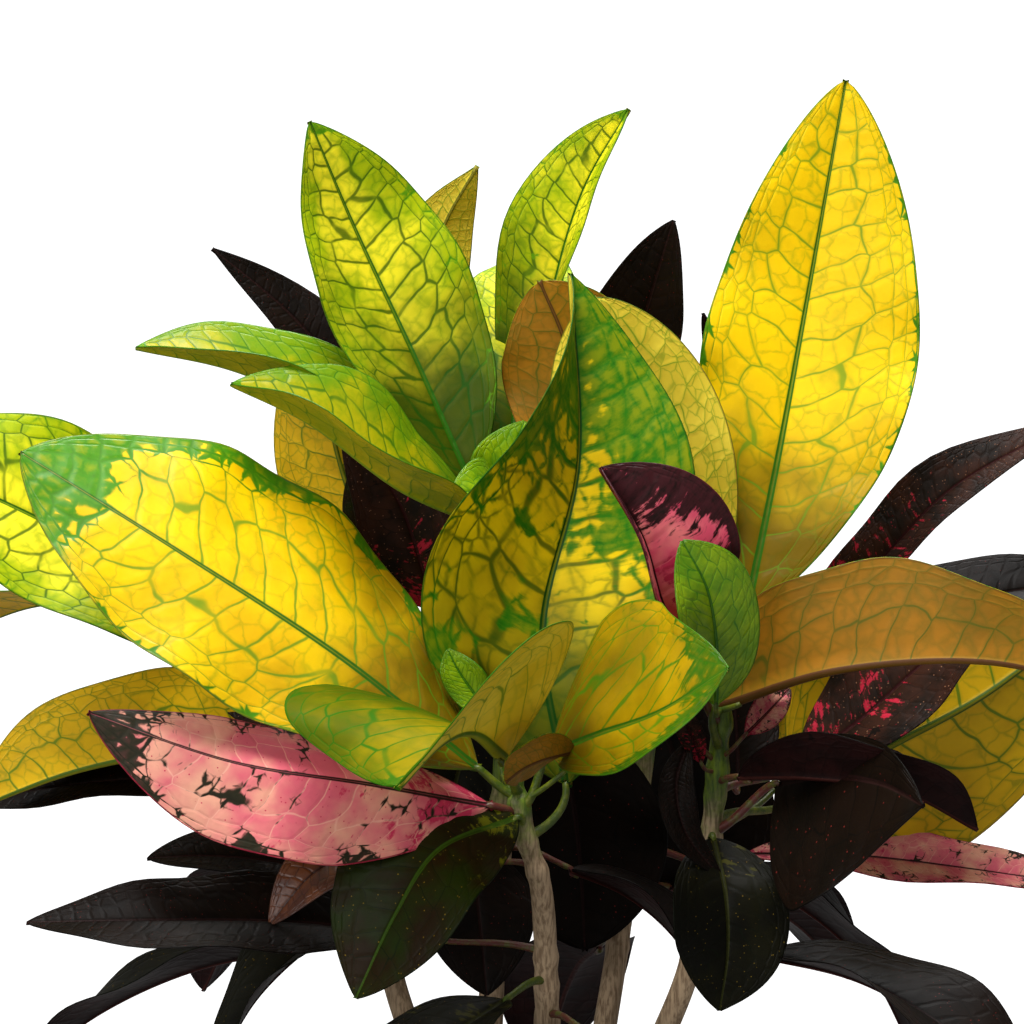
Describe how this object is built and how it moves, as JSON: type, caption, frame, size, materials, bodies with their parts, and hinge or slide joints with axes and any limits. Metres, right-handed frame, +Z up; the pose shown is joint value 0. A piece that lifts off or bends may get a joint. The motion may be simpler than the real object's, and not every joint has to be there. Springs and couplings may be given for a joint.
{
  "type": "potted croton",
  "caption": "Potted croton with broad marbled leaves in gold, green, pink and near black on leafy stems, standing in a soil-filled plastic pot.",
  "frame": {"origin": "middle of the pot's underside", "axes": "+Z up, +X the plant's right as seen from its front, -Y its front"},
  "size_m": [0.5084, 0.445, 0.567],
  "materials": {
    "gold_foliage": "satin",
    "dark_foliage": "satin",
    "soil": "matte",
    "pot": "matte"
  },
  "bodies": {
    "root": {"pot": "pot", "soil": "soil", "leafy_stem_front": "gold_foliage", "leafy_stem_right": "gold_foliage", "leafy_stem_centre": "gold_foliage", "leafy_stem_back_right": "dark_foliage", "leafy_stem_back_left": "gold_foliage"}
  },
  "joints": []
}
